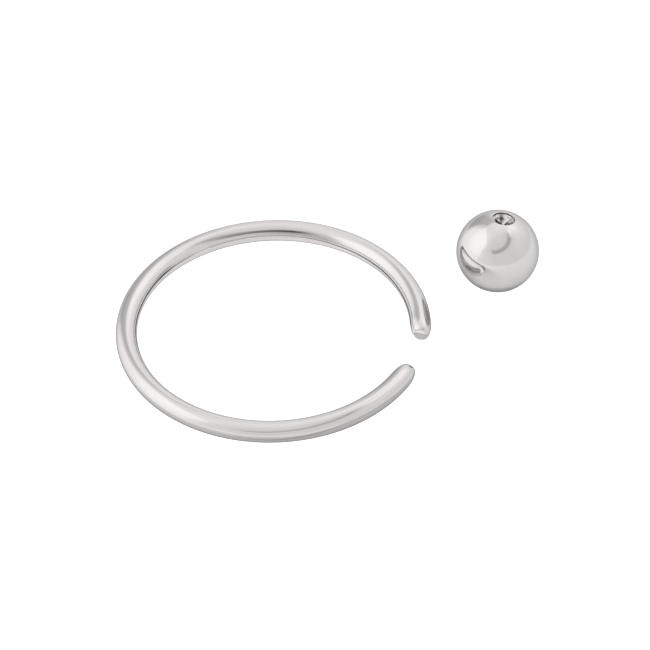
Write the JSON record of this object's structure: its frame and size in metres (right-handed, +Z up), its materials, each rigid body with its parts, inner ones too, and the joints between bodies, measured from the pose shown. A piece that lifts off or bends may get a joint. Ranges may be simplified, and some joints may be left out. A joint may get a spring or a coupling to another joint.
{
  "type": "ball closure ring",
  "caption": "Open ring of round polished wire lying flat, with its closure ball taken off beside it; drilled dimples in the ball clip onto the wire's rounded ends.",
  "frame": {"origin": "on the plane that both pieces stand on, under the middle of the box round the ring and the ball", "axes": "+X from the ring's centre through the middle of its gap, +Z up, square to the ring's plane"},
  "size_m": [0.0188, 0.0158, 0.0039],
  "materials": {
    "ring_steel": "mirror-polished stainless steel",
    "ball_steel": "mirror-polished stainless steel"
  },
  "bodies": {
    "root": {"open_ring": "ring_steel", "closure_ball": "ball_steel"}
  },
  "joints": []
}
